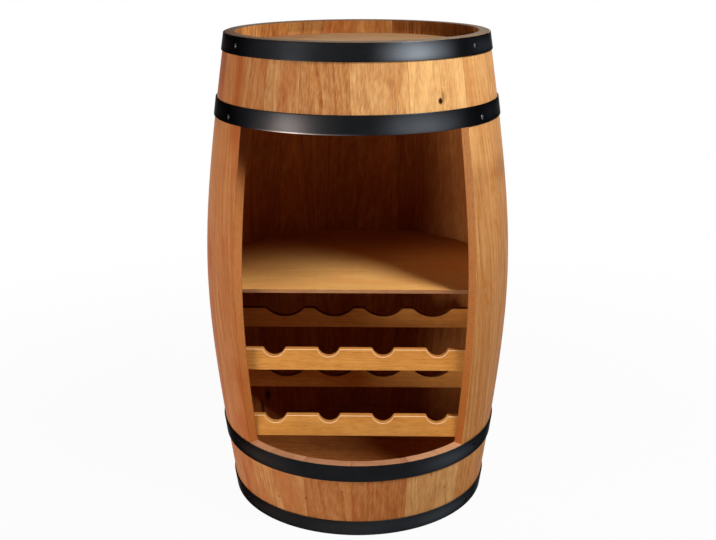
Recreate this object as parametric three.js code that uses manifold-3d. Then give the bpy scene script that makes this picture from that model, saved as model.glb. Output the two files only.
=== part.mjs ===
// Barrel bar cabinet: an upright stave barrel, hooped in steel, with a tall opening in its front.
// Inside are a round shelf with a straight front edge and two tiers of notched bottle rails.
// Millimetres, +Z up. The opening faces -Y. Angles are in degrees from -Y, positive towards +X.
import * as THREE from "three";
import { mergeVertices } from "three/addons/utils/BufferGeometryUtils.js";
import Module from "manifold-3d";

const wasm = await Module();
wasm.setup();

// Driving dimensions.

// The clearance left between any two pieces that fit together.
const gap = 0.3;

// How far a cutting solid runs past the face that it cuts.
const overrun = 5;

// The barrel's curve is steepest near the bilge and straightens towards the ends.
const barrel = {
  height: 800,
  endRadius: 217,
  bilgeRadius: 258.5,
  staveThickness: 17,
  straightenShare: 1.9,
};

const opening = {
  bottom: 133.7,
  topBand: 135,
  halfAngle: 48,
};

// Stave widths from left to right: the front ones over and under the opening, and the full-length
// ones that run from the right jamb round the back to the left jamb.
const frontStaveShares = [0.126, 0.16, 0.203, 0.233, 0.144, 0.134];
const fullStaveShares = [1, 1.12, 0.9, 1.06, 0.96, 1.14, 1.02, 0.92, 1.1, 0.98, 1.08, 0.9, 1.04, 0.98];
const facetAngle = 6.3;
const wallStations = 12;

const hoop = {
  thickness: 2,
  width: 29.5,
  topWidth: 28,
  bottomWidth: 26.4,
  endReveal: 1,
  lapLength: 44,
  rivetSpacing: 22,
  rivetRadius: 4,
  rivetRise: 2,
};

const nail = {
  headRadius: 4.2,
  headRise: 1.9,
  shankRadius: 1.3,
  shankLength: 15,
  tipLength: 4,
  frontAngle: 56.5,
  backAngle: 125,
  shift: 4.5,
};

const head = {
  recess: 24,
  thickness: 15,
  crozeDepth: 4,
};

// Joints between the three boards of a head, as shares of its radius from the middle.
const headJointShares = [-0.3, 0.36];

const shelf = {
  top: 394.5,
  thickness: 6.5,
  frontReach: 137.5,
};

const cleat = {
  length: 70,
  depth: 16,
  height: 14,
  angles: { right: 90, back: 180, left: 270 },
};

const rack = {
  pitch: 89,
  railHeight: 36.5,
  railThickness: 11.8,
  lowestEdge: 141,
  tierSpacing: 117,
  jambSetback: 1.5,
  backSetback: 55,
};

// A notch is an arc whose corners at the rail's top edge are rounded.
const neckNotch = { radius: 18.5, depth: 13, corner: 3 };
const bodyNotch = { radius: 46, depth: 15.5, corner: 8 };
const arcSteps = 8;
const cornerSteps = 3;

// Surfaces.

const finishes = {
  oiledWood: { color: 0xb9783f, roughness: 0.55, metalness: 0 },
  innerWood: { color: 0x9a5f30, roughness: 0.7, metalness: 0 },
  rackWood: { color: 0xc98a48, roughness: 0.6, metalness: 0 },
  blackSteel: { color: 0x1c1c1f, roughness: 0.45, metalness: 0.6 },
};

// Geometry helpers.

const radians = THREE.MathUtils.degToRad;
const middle = barrel.height / 2;

// Outer radius of the barrel at a height.
function wallRadius(z) {
  const spread = barrel.straightenShare;
  const reach = (spread * (z - middle)) / middle;
  const share = (Math.hypot(1, reach) - 1) / (Math.hypot(1, spread) - 1);
  return barrel.bilgeRadius - (barrel.bilgeRadius - barrel.endRadius) * share;
}

// The wall's lean at a height, as the angle of its outward normal above the horizontal.
function wallLean(z) {
  const spread = barrel.straightenShare;
  const reach = (spread * (z - middle)) / middle;
  const slope = (spread * reach) / Math.hypot(1, reach) / (Math.hypot(1, spread) - 1);
  return Math.atan2((barrel.bilgeRadius - barrel.endRadius) * slope, middle);
}

function polar(radius, degrees, z) {
  const angle = radians(degrees);
  return new THREE.Vector3(radius * Math.sin(angle), -radius * Math.cos(angle), z);
}

// Sweeps an outline of [radius, height] points, counter-clockwise, through a list of angles.
// An open sweep is capped, and its ends draw back from their planes by the given inset.
function sweep(outline, angles, { closed = false, inset = 0 } = {}) {
  const points = [];
  angles.forEach((angle, i) => {
    const side = closed ? 0 : (i === 0) - (i === angles.length - 1);
    outline.forEach(([radius, z]) => {
      const shift = side ? (side * THREE.MathUtils.radToDeg(Math.asin(inset / radius))) : 0;
      points.push(polar(radius, angle + shift, z));
    });
  });
  const count = outline.length;
  const faces = [];
  const spans = closed ? angles.length : angles.length - 1;
  for (let i = 0; i < spans; i++) {
    const here = i * count;
    const next = ((i + 1) % angles.length) * count;
    for (let j = 0; j < count; j++) {
      const k = (j + 1) % count;
      faces.push([here + j, next + j, next + k], [here + j, next + k, here + k]);
    }
  }
  if (!closed) {
    const flat = outline.map(([radius, z]) => new THREE.Vector2(radius, z));
    const last = (angles.length - 1) * count;
    THREE.ShapeUtils.triangulateShape(flat, []).forEach(([a, b, c]) => {
      faces.push([a, b, c], [last + a, last + c, last + b]);
    });
  }
  return new THREE.BufferGeometry().setFromPoints(points).setIndex(faces.flat());
}

// Turns a closed geometry into a manifold-3d solid.
function solid(geometry) {
  const bare = geometry.clone();
  bare.deleteAttribute("normal");
  bare.deleteAttribute("uv");
  const merged = mergeVertices(bare);
  const index = merged.index.array;
  const kept = [];
  for (let i = 0; i < index.length; i += 3) {
    const [a, b, c] = index.slice(i, i + 3);
    if (a !== b && b !== c && c !== a) kept.push(a, b, c);
  }
  const vertProperties = new Float32Array(merged.attributes.position.array);
  return new wasm.Manifold(new wasm.Mesh({ numProp: 3, vertProperties, triVerts: new Uint32Array(kept) }));
}

// Turns a solid back into a geometry with flat shading.
function geometryOf(made) {
  const { vertProperties, triVerts } = made.getMesh();
  const geometry = new THREE.BufferGeometry()
    .setAttribute("position", new THREE.BufferAttribute(new Float32Array(vertProperties), 3))
    .setIndex(new THREE.BufferAttribute(new Uint32Array(triVerts), 1))
    .toNonIndexed();
  geometry.computeVertexNormals();
  return geometry;
}

// A flat plate: an outline in X and Y, lifted to a height.
function plate(points, bottom, thickness) {
  const outline = new THREE.Shape(points);
  return new THREE.ExtrudeGeometry(outline, { depth: thickness, bevelEnabled: false })
    .translate(0, 0, bottom);
}

function box(width, depth, height, centre) {
  return new THREE.BoxGeometry(width, depth, height).translate(centre.x, centre.y, centre.z);
}

function arcPoints(centreX, centreY, radius, from, to, steps) {
  return Array.from({ length: steps + 1 }, (_, i) => {
    const angle = from + ((to - from) * i) / steps;
    return new THREE.Vector2(centreX + radius * Math.cos(angle), centreY + radius * Math.sin(angle));
  });
}

// Stave layout: the edges between staves and the facets within each stave.

function edgesFrom(start, total, shares) {
  const sum = shares.reduce((a, b) => a + b, 0);
  const edges = [start];
  shares.forEach((share) => edges.push(edges.at(-1) + (total * share) / sum));
  return edges;
}

function facetsBetween(from, to) {
  const count = Math.max(2, Math.round((to - from) / facetAngle));
  return Array.from({ length: count + 1 }, (_, i) => from + ((to - from) * i) / count);
}

const { halfAngle } = opening;
const frontEdges = edgesFrom(-halfAngle, 2 * halfAngle, frontStaveShares);
const fullEdges = edgesFrom(halfAngle, 360 - 2 * halfAngle, fullStaveShares);
const ringAngles = [...frontEdges.slice(0, -1), ...fullEdges.slice(0, -1)].flatMap((edge, i, edges) => {
  const end = edges[i + 1] ?? edges[0] + 360;
  return facetsBetween(edge, end).slice(0, -1);
});

// The middle of the facet that lies nearest to an angle.
function facetMiddle(degrees) {
  const wanted = (degrees + 360) % 360;
  const middles = ringAngles.map((angle, i) => (angle + (ringAngles[i + 1] ?? ringAngles[0] + 360)) / 2);
  const away = (angle) => Math.abs(((angle - wanted + 540) % 360) - 180);
  return middles.reduce((best, angle) => (away(angle) < away(best) ? angle : best));
}

// The share of the radius at which the middle of a facet lies, its corners being on the circle.
function facetDropShare(degrees) {
  const away = ringAngles.map((angle) => Math.abs(((angle - degrees + 540) % 360) - 180));
  return Math.cos(radians(Math.min(...away)));
}

// Levels that pieces share.

const openingTop = barrel.height - opening.topBand;
const stations = Array.from({ length: wallStations + 1 }, (_, i) => (barrel.height * i) / wallStations);
const topHead = { bottom: barrel.height - head.recess - head.thickness };
const bottomHead = { bottom: head.recess };

// The groove that holds a head, and the head's own radius in it.
function croze({ bottom }) {
  const low = bottom - gap;
  const high = bottom + head.thickness + gap;
  const wall = Math.max(wallRadius(low), wallRadius(high)) - barrel.staveThickness;
  return { low, high, radius: wall + head.crozeDepth };
}

const crozes = [bottomHead, topHead].map(croze);

// Staves.

function staveOutline(low, high) {
  const between = stations.filter((z) => z > low && z < high);
  const levels = [low, ...between, high];
  const inner = levels.map((z) => [wallRadius(z) - barrel.staveThickness, z]);
  const grooves = crozes.filter((groove) => groove.low > low && groove.high < high);
  grooves.forEach((groove) => {
    const outside = ([, z]) => z < groove.low || z > groove.high;
    const kept = inner.filter(outside);
    const corners = [
      [wallRadius(groove.low) - barrel.staveThickness, groove.low],
      [groove.radius, groove.low],
      [groove.radius, groove.high],
      [wallRadius(groove.high) - barrel.staveThickness, groove.high],
    ];
    const place = kept.findIndex(([, z]) => z > groove.high);
    kept.splice(place, 0, ...corners);
    inner.splice(0, inner.length, ...kept);
  });
  const outer = levels.map((z) => [wallRadius(z), z]);
  return [...outer, ...inner.reverse()];
}

function stave(low, high, from, to) {
  return sweep(staveOutline(low, high), facetsBetween(from, to), { inset: gap / 2 });
}

// Hoops and their nails.

// The nails of the two hoops at the opening stand nearer to it than the middle of their hoop.
const hoops = [
  { name: "top", low: barrel.height - hoop.endReveal - hoop.topWidth, width: hoop.topWidth, nailShift: 0 },
  { name: "upper", low: openingTop, width: hoop.width, nailShift: -nail.shift },
  { name: "lower", low: opening.bottom - hoop.width, width: hoop.width, nailShift: nail.shift },
  { name: "bottom", low: hoop.endReveal, width: hoop.bottomWidth, nailShift: 0 },
];

function bandOutline(low, width, from, thickness) {
  const levels = [low, low + width];
  const inner = levels.map((z) => [wallRadius(z) + from, z]);
  const outer = levels.map((z) => [wallRadius(z) + from + thickness, z]);
  return [...outer, ...inner.reverse()];
}

// A low dome on the Z axis, standing on its flat face at zero.
function dome(radius, rise) {
  const sphere = (radius * radius + rise * rise) / (rise + rise);
  const spread = Math.asin(radius / sphere);
  const points = Array.from({ length: cornerSteps }, (_, i) => {
    const angle = spread * (1 - i / cornerSteps);
    return new THREE.Vector2(sphere * Math.sin(angle), sphere * Math.cos(angle) - sphere + rise);
  });
  return [...points, new THREE.Vector2(0, rise)];
}

// Stands an object on the outside of a hoop, its +Z axis along the hoop's outward normal.
function standOnHoop(object, degrees, z, lift) {
  const lean = wallLean(z);
  const outward = polar(Math.cos(lean), degrees, Math.sin(lean));
  const radius = wallRadius(z) * facetDropShare(degrees);
  object.quaternion.setFromUnitVectors(new THREE.Vector3(0, 0, 1), outward);
  object.position.copy(polar(radius, degrees, z)).addScaledVector(outward, lift);
  object.updateMatrix();
  return object;
}

const nailSides = 8;
const hoopFace = gap + hoop.thickness;
const lapFace = hoopFace + hoop.thickness / 2;

function nailGeometry() {
  const tip = new THREE.Vector2(0, -nail.shankLength);
  const shank = [
    new THREE.Vector2(nail.shankRadius, nail.tipLength - nail.shankLength),
    new THREE.Vector2(nail.shankRadius, 0),
  ];
  return new THREE.LatheGeometry([tip, ...shank, ...dome(nail.headRadius, nail.headRise)], nailSides)
    .rotateX(Math.PI / 2);
}

// Where each nail stands: its hoop, its angle and its height.
const nailPlaces = hoops.flatMap(({ name, low, width, nailShift }) => {
  const sides = [
    ["front_left", -nail.frontAngle],
    ["front_right", nail.frontAngle],
    ["back_left", -nail.backAngle],
    ["back_right", nail.backAngle],
  ];
  return sides.map(([side, degrees]) => ({
    name: "nail_" + name + "_" + side,
    hoop: name,
    degrees: facetMiddle(degrees),
    z: low + width / 2 + nailShift,
  }));
});

// The hole that a nail goes through, in hoop and stave alike.
function nailHole({ degrees, z }) {
  const length = nail.shankLength + gap + overrun;
  const bore = new THREE.CylinderGeometry(nail.shankRadius + gap, nail.shankRadius + gap, length, nailSides)
    .rotateX(Math.PI / 2)
    .translate(0, 0, overrun - length / 2);
  const place = standOnHoop(new THREE.Object3D(), degrees, z, hoopFace);
  return solid(bore.applyMatrix4(place.matrix));
}

function drilled(geometry, places) {
  return places.reduce((made, place) => made.subtract(nailHole(place)), solid(geometry));
}

// The hoop's overlapped ends: a short second layer at the back, held by two rivets.
function hoopGeometry({ name, low, width }) {
  const ring = sweep(bandOutline(low, width, gap, hoop.thickness), ringAngles, { closed: true });
  const z = low + width / 2;
  const half = THREE.MathUtils.radToDeg(hoop.lapLength / 2 / wallRadius(z));
  const inside = ringAngles.filter((angle) => Math.abs(angle - 180) < half);
  const layer = bandOutline(low, width, gap + hoop.thickness / 2, hoop.thickness);
  const lap = sweep(layer, [180 - half, ...inside, 180 + half]);
  const turn = THREE.MathUtils.radToDeg(hoop.rivetSpacing / 2 / wallRadius(z));
  const places = nailPlaces.filter((place) => place.hoop === name);
  const rivets = [180 - turn, 180 + turn].map((degrees) => {
    const foot = new THREE.Vector2(hoop.rivetRadius, -hoop.thickness / 2);
    const button = [new THREE.Vector2(0, foot.y), foot, ...dome(hoop.rivetRadius, hoop.rivetRise)];
    const place = standOnHoop(new THREE.Object3D(), facetMiddle(degrees), z, lapFace);
    return new THREE.LatheGeometry(button, nailSides).rotateX(Math.PI / 2).applyMatrix4(place.matrix);
  });
  return [lap, ...rivets].reduce((made, piece) => made.add(solid(piece)), drilled(ring, places));
}

// The room inside the staves, which trims whatever is fitted against their inner faces.
function room() {
  const wall = stations.map((z) => [wallRadius(z) - barrel.staveThickness - gap, z]);
  const outline = [[0, 0], ...wall, [0, barrel.height]];
  return solid(sweep(outline, ringAngles, { closed: true }));
}

const roomSolid = room();

function fitted(geometry) {
  return roomSolid.intersect(solid(geometry));
}

// Heads: three boards, edge to edge, in the crozes.

function headBoards(place, groove) {
  const radius = groove.radius - gap;
  const rim = ringAngles.map((angle) => polar(radius, angle, 0));
  const disc = solid(plate(rim.map(({ x, y }) => new THREE.Vector2(x, y)), place.bottom, head.thickness));
  const joints = headJointShares.map((share) => share * radius);
  const edges = [-radius - overrun, ...joints, radius + overrun];
  return edges.slice(0, -1).map((front, i) => {
    const depth = edges[i + 1] - front - gap;
    const centre = new THREE.Vector3(0, front + (depth + gap) / 2, place.bottom + head.thickness / 2);
    return disc.intersect(solid(box(2 * (radius + overrun), depth, head.thickness + overrun, centre)));
  });
}

// The shelf and the cleats under it.

function shelfSolid() {
  const back = barrel.bilgeRadius;
  const depth = shelf.frontReach + back;
  const centre = new THREE.Vector3(0, (back - shelf.frontReach) / 2, shelf.top - shelf.thickness / 2);
  return fitted(box(2 * back, depth, shelf.thickness, centre));
}

function cleatSolid(degrees) {
  const top = shelf.top - shelf.thickness - gap;
  const wall = wallRadius(top) - barrel.staveThickness;
  const outer = barrel.bilgeRadius;
  const inner = Math.sqrt(wall ** 2 - (cleat.length / 2) ** 2) - cleat.depth;
  const centre = new THREE.Vector3(0, -(inner + outer) / 2, top - cleat.height / 2);
  return fitted(box(cleat.length, outer - inner, cleat.height, centre).rotateZ(radians(degrees)));
}

// Bottle rails.

// The front rails stand just behind the jambs where the barrel is narrowest along the rack, so both
// their ends meet full staves. As many bottles lie side by side as those rails have room for.
const rackLevels = [rack.lowestEdge, rack.lowestEdge + rack.tierSpacing + rack.railHeight];
const rackRoom = Math.min(...rackLevels.map((z) => wallRadius(z))) - barrel.staveThickness;
const neckReach = rackRoom * Math.cos(radians(halfAngle)) - rack.jambSetback;
const neckRoom = Math.sqrt(rackRoom ** 2 - neckReach ** 2) - neckNotch.radius - neckNotch.corner;
const bottlesAcross = 1 + Math.floor((2 * neckRoom) / rack.pitch);

// A rail's top edge from right to left, with one rounded notch per bottle.
function notchedEdge(top, notch) {
  const rise = notch.radius - notch.depth;
  const away = notch.radius + notch.corner;
  const offset = Math.sqrt(away ** 2 - (rise + notch.corner) ** 2);
  const lean = Math.atan2(rise + notch.corner, offset);
  return Array.from({ length: bottlesAcross }, (_, i) => {
    const x = rack.pitch * ((bottlesAcross - 1) / 2 - i);
    const shoulder = top - notch.corner;
    const flare = Math.PI / 2;
    return [
      ...arcPoints(x + offset, shoulder, notch.corner, flare, Math.PI - lean, cornerSteps).slice(0, -1),
      ...arcPoints(x, top + rise, notch.radius, -lean, lean - Math.PI, arcSteps),
      ...arcPoints(x - offset, shoulder, notch.corner, lean, flare, cornerSteps).slice(1),
    ];
  }).flat();
}

function railSolid(bottom, front, notch) {
  const top = bottom + rack.railHeight;
  const half = barrel.bilgeRadius;
  const outline = [
    new THREE.Vector2(-half, bottom),
    new THREE.Vector2(half, bottom),
    new THREE.Vector2(half, top),
    ...notchedEdge(top, notch),
    new THREE.Vector2(-half, top),
  ];
  const upright = plate(outline, 0, rack.railThickness)
    .rotateX(Math.PI / 2)
    .translate(0, front + rack.railThickness, 0);
  return fitted(upright);
}

// Assembly.

const cabinet = new THREE.Group();

function add(name, geometry, finish) {
  const mesh = new THREE.Mesh(geometry, new THREE.MeshStandardMaterial(finish));
  mesh.name = name;
  cabinet.add(mesh);
  return mesh;
}

function between(degrees, from, to) {
  const turned = degrees < from ? degrees + 360 : degrees;
  return turned > from && turned < to;
}

fullEdges.slice(0, -1).forEach((from, i) => {
  const to = fullEdges[i + 1];
  const places = nailPlaces.filter(({ degrees }) => between(degrees, from, to));
  const made = drilled(stave(0, barrel.height, from, to), places);
  add("stave_full_" + String(i + 1).padStart(2, "0"), geometryOf(made), finishes.oiledWood);
});

frontEdges.slice(0, -1).forEach((from, i) => {
  const to = frontEdges[i + 1];
  add("stave_upper_" + (i + 1), stave(openingTop, barrel.height, from, to), finishes.oiledWood);
  add("stave_lower_" + (i + 1), stave(0, opening.bottom, from, to), finishes.oiledWood);
});

hoops.forEach((band) => add("hoop_" + band.name, geometryOf(hoopGeometry(band)), finishes.blackSteel));

nailPlaces.forEach(({ name, degrees, z }) => {
  const made = add(name, nailGeometry(), finishes.blackSteel);
  standOnHoop(made, degrees, z, hoopFace + gap);
});

const boardNames = ["front", "middle", "back"];
headBoards(topHead, crozes[1]).forEach((board, i) => {
  add("head_top_" + boardNames[i], geometryOf(board), finishes.oiledWood);
});
headBoards(bottomHead, crozes[0]).forEach((board, i) => {
  add("head_bottom_" + boardNames[i], geometryOf(board), finishes.innerWood);
});

add("shelf", geometryOf(shelfSolid()), finishes.rackWood);
Object.entries(cleat.angles).forEach(([side, degrees]) => {
  add("shelf_cleat_" + side, geometryOf(cleatSolid(degrees)), finishes.innerWood);
});

["lower", "upper"].forEach((tier, i) => {
  const bottom = rack.lowestEdge + i * rack.tierSpacing;
  const neckRail = railSolid(bottom, -neckReach, neckNotch);
  const bodyRail = railSolid(bottom, rack.backSetback, bodyNotch);
  add("rail_front_" + tier, geometryOf(neckRail), finishes.rackWood);
  add("rail_back_" + tier, geometryOf(bodyRail), finishes.rackWood);
});

// The bulge is cut away at the front, so the barrel's axis stands forward of the origin by half of
// what is missing there.
const frontFace = Math.max(...hoops.map(({ low, width }) => Math.max(wallRadius(low), wallRadius(low + width))));
cabinet.position.y = (frontFace + hoopFace - barrel.bilgeRadius) / 2;

export default cabinet;
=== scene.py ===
"""A barrel bar cabinet: an oak barrel on end with its front opened, a shelf and a two-tier bottle rack.

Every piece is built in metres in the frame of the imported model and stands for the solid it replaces.
"""

import logging
import math
import random
from collections.abc import Callable, Iterable, Sequence
from dataclasses import dataclass
from enum import IntEnum

import bmesh
import bpy
from mathutils import Matrix, Vector


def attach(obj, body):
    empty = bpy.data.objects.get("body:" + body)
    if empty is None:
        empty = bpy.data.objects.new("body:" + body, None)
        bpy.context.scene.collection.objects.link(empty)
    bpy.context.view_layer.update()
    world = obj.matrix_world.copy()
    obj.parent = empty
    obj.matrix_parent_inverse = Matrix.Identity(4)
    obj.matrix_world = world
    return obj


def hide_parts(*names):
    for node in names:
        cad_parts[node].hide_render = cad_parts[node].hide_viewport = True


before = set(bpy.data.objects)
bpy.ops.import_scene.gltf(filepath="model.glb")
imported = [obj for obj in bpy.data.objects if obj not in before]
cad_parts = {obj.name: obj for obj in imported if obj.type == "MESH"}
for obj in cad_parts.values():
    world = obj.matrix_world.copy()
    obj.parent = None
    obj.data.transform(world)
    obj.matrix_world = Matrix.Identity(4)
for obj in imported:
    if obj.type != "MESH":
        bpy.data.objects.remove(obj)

MM = 0.001
ROOT = "root"
WHITE = (1.0, 1.0, 1.0, 1.0)
Rgb = tuple[int, int, int]
Tint = tuple[float, float, float, float]
Pair = tuple[float, float]
Triple = tuple[float, float, float]
Marks = tuple[Pair, ...]
log = logging.getLogger("barrel_cabinet")


def tint(colour: Rgb) -> Tint:
    """Turn a colour on the 0 to 255 scale of a screen into linear light, with an alpha of one."""
    parts = (value / 255 for value in colour)
    return (*(v / 12.92 if v <= 0.04045 else ((v + 0.055) / 1.055) ** 2.4 for v in parts), 1.0)


def spread(start: float, stop: float, steps: int) -> list[float]:
    """Divide a length into equal steps, both ends included."""
    return [start + (stop - start) * i / steps for i in range(steps + 1)]


def read(marks: Marks, place: float) -> float:
    """Read a value off its marks.

    Args:
        marks: Places and values, in order.
        place: Where to read.

    Returns:
        The value in between, or that of the first or last mark beyond them.
    """
    value = marks[0][1]
    for (low, first), (high, second) in zip(marks, marks[1:]):
        if place > low:
            value = first + (second - first) * min(1.0, (place - low) / (high - low))
    return value


class Face(IntEnum):
    """Where on a stave a finish belongs."""

    OUTSIDE = 0
    INSIDE = 1
    CUT = 2
    RIM = 3
    CHIME = 4


class Wire:
    """A shader value; Python's operators on it add the Math nodes."""

    def __init__(self, pen: "Pen", socket: bpy.types.NodeSocket) -> None:
        """Wrap the output socket that carries the value."""
        self.pen = pen
        self.socket = socket

    def math(self, operation: str, *values: "Wire | float", clamp: bool = False) -> "Wire":
        """Add one Math node, its result held between nought and one if clamped."""
        settings = {"operation": operation, "use_clamp": clamp}
        return self.pen.wire("ShaderNodeMath", settings, dict(enumerate(values)))

    def __add__(self, other: "Wire | float") -> "Wire":
        """Add."""
        return self.math("ADD", self, other)

    def __radd__(self, other: float) -> "Wire":
        """Add, reflected."""
        return self.math("ADD", other, self)

    def __sub__(self, other: "Wire | float") -> "Wire":
        """Subtract."""
        return self.math("SUBTRACT", self, other)

    def __rsub__(self, other: float) -> "Wire":
        """Subtract, reflected."""
        return self.math("SUBTRACT", other, self)

    def __mul__(self, other: "Wire | float") -> "Wire":
        """Multiply."""
        return self.math("MULTIPLY", self, other)

    def __rmul__(self, other: float) -> "Wire":
        """Multiply, reflected."""
        return self.math("MULTIPLY", other, self)

    def root(self) -> "Wire":
        """Take the square root."""
        return self.math("SQRT", self)

    def fraction(self) -> "Wire":
        """Keep the part after the point."""
        return self.math("FRACT", self)

    def greater(self, other: "Wire") -> "Wire":
        """Keep the greater of two values."""
        return self.math("MAXIMUM", self, other)

    def clamped(self) -> "Wire":
        """Hold the value between nought and one."""
        return self.math("ADD", self, 0.0, clamp=True)

    def ramp(self, low: float, high: float, bottom: float = 0.0, top: float = 1.0) -> "Wire":
        """Ease from the bottom level to the top one while the value goes from low to high."""
        sockets = {0: self, 1: low, 2: high, 3: bottom, 4: top}
        return self.pen.wire("ShaderNodeMapRange", {"interpolation_type": "SMOOTHSTEP"}, sockets)


@dataclass(frozen=True)
class Pattern:
    """Smooth noise: its swings to a metre each way, how many finer layers it has and their strength."""

    swings: Triple
    layers: float
    strength: float = 0.5


class Pen:
    """Draws the nodes of one material or of the world."""

    def __init__(self, owner: bpy.types.Material | bpy.types.World) -> None:
        """Start with an empty node tree.

        Args:
            owner: The material or the world.
        """
        owner.use_nodes = True
        self.owner = owner
        self.tree = owner.node_tree
        self.tree.nodes.clear()

    def node(self, kind: str, settings: dict | None = None, sockets: dict | None = None) -> bpy.types.Node:
        """Add a node, set it up, then fill or link its sockets.

        Args:
            kind: The node's type.
            settings: Its properties.
            sockets: Values, wires or outputs, by socket number or name.

        Returns:
            The new node.
        """
        made = self.tree.nodes.new(kind)
        for key, value in (settings or {}).items():
            setattr(made, key, value)
        for key, value in (sockets or {}).items():
            source = value.socket if isinstance(value, Wire) else value
            if isinstance(source, bpy.types.NodeSocket):
                self.tree.links.new(source, made.inputs[key])
            else:
                made.inputs[key].default_value = source
        return made

    def wire(self, kind: str, settings: dict | None, sockets: dict, output: int | str = 0) -> Wire:
        """Add a node and take one of its outputs."""
        return Wire(self, self.node(kind, settings, sockets).outputs[output])

    def attribute(self, name: str, output: str = "Vector") -> Wire:
        """Read what the mesh carries under a name, as a "Vector" or a "Fac"."""
        settings = {"attribute_type": "GEOMETRY", "attribute_name": name}
        return self.wire("ShaderNodeAttribute", settings, {}, output)

    def split(self, vector: Wire) -> list[Wire]:
        """Take a vector apart into its three values."""
        made = self.node("ShaderNodeSeparateXYZ", None, {0: vector})
        return [Wire(self, output) for output in made.outputs]

    def join(self, x: Wire, y: Wire, z: Wire) -> Wire:
        """Put three values together into a vector."""
        return self.wire("ShaderNodeCombineXYZ", None, {0: x, 1: y, 2: z})

    def place(self) -> Wire:
        """Read the point's place on the object, in metres."""
        return self.wire("ShaderNodeTexCoord", None, {}, "Object")

    def vector(self, operation: str, *values: Wire | Triple, output: int = 0) -> Wire:
        """Add one Vector Math node and take its output: 0 is the vector, 1 the value."""
        return self.wire("ShaderNodeVectorMath", {"operation": operation}, dict(enumerate(values)), output)

    def noise(self, where: Wire, pattern: Pattern) -> Wire:
        """Read a pattern.

        Args:
            where: The point to read.
            pattern: The pattern.

        Returns:
            A value that swings about nought.
        """
        sockets = {"Vector": self.vector("MULTIPLY", where, pattern.swings), "Scale": 1.0}
        sockets |= {"Detail": pattern.layers, "Roughness": pattern.strength}
        return self.wire("ShaderNodeTexNoise", {"noise_dimensions": "3D"}, sockets) - 0.5

    def streaks(self, position: Wire, layers: float) -> Wire:
        """Read noise along a line, one unit to a swing, as a value that swings about nought."""
        sockets = {"W": position, "Scale": 1.0, "Detail": layers, "Roughness": 0.55}
        return self.wire("ShaderNodeTexNoise", {"noise_dimensions": "1D"}, sockets) - 0.5

    def mix(self, share: Wire, first: Wire | Tint, second: Wire | Tint) -> Wire:
        """Blend two colours; the share is that of the second."""
        return self.wire("ShaderNodeMix", {"data_type": "RGBA"}, {0: share, 6: first, 7: second}, 2)

    def bump(self, height: Wire, strength: float, distance: float) -> Wire:
        """Turn a height into a surface direction; a height of one measures the distance, in metres."""
        sockets = {"Strength": strength, "Distance": distance, "Height": height}
        return self.wire("ShaderNodeBump", None, sockets)

    def surface(self, sockets: dict) -> bpy.types.Material:
        """End the drawing with the surface itself.

        Args:
            sockets: Values or wires for the surface's sockets.

        Returns:
            The finished material.
        """
        made = self.node("ShaderNodeBsdfPrincipled", None, sockets)
        self.node("ShaderNodeOutputMaterial", None, {"Surface": made.outputs[0]})
        return self.owner


@dataclass(frozen=True)
class Palette:
    """A wood's colours: the pale and the deep grain, two stains, the dark of joints and the colour laid on
    top for stains, painted shade and painted highlights.
    """

    pale: Rgb
    deep: Rgb
    ruddy: Rgb
    golden: Rgb
    joint: Rgb
    stain_shade_and_sheen: Rgb = (118, 52, 20)


@dataclass(frozen=True)
class Knot:
    """A small dark knot: where it is on the object and how far it reaches, in metres."""

    place: Triple
    radius: float
    length: float
    depth: float = 1.0
    rim: float = 1.6
    heart: float = 0.35

    def draw(self, pen: Pen) -> Wire:
        """Draw how deep in the knot each point is.

        Args:
            pen: The pen of the material.

        Returns:
            The knot's depth at its heart, nought away from it.
        """
        away = pen.vector("SUBTRACT", pen.place(), self.place)
        scale = (1 / self.radius, 1 / self.radius, 1 / self.length)
        reach = pen.vector("LENGTH", pen.vector("MULTIPLY", away, scale), output=1)
        return reach.ramp(self.rim, self.heart) * self.depth


@dataclass(frozen=True)
class WoodFinish:
    """Oiled wood with growth rings, fibres, pores, uneven staining and dark joints.

    The shares from nought to one say how strong each feature is; the two widths are in metres.
    """

    name: str
    palette: Palette
    roughness: float = 0.46
    ring_pitch: float = 6.5 * MM
    depth: float = 0.42
    figure: float = 0.5
    patches: float = 0.5
    pores: float = 0.35
    joint_width: float = 0.8 * MM
    joint_depth: float = 0.32
    relief: float = 0.35
    rings: float = 0.65
    straight: float = 0.0
    foot: float = 0.0
    shade: Triple | None = None
    knots: tuple[Knot, ...] = ()

    def make(self) -> bpy.types.Material:
        """Draw the finish."""
        return WoodDrawing(self).surface()


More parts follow.
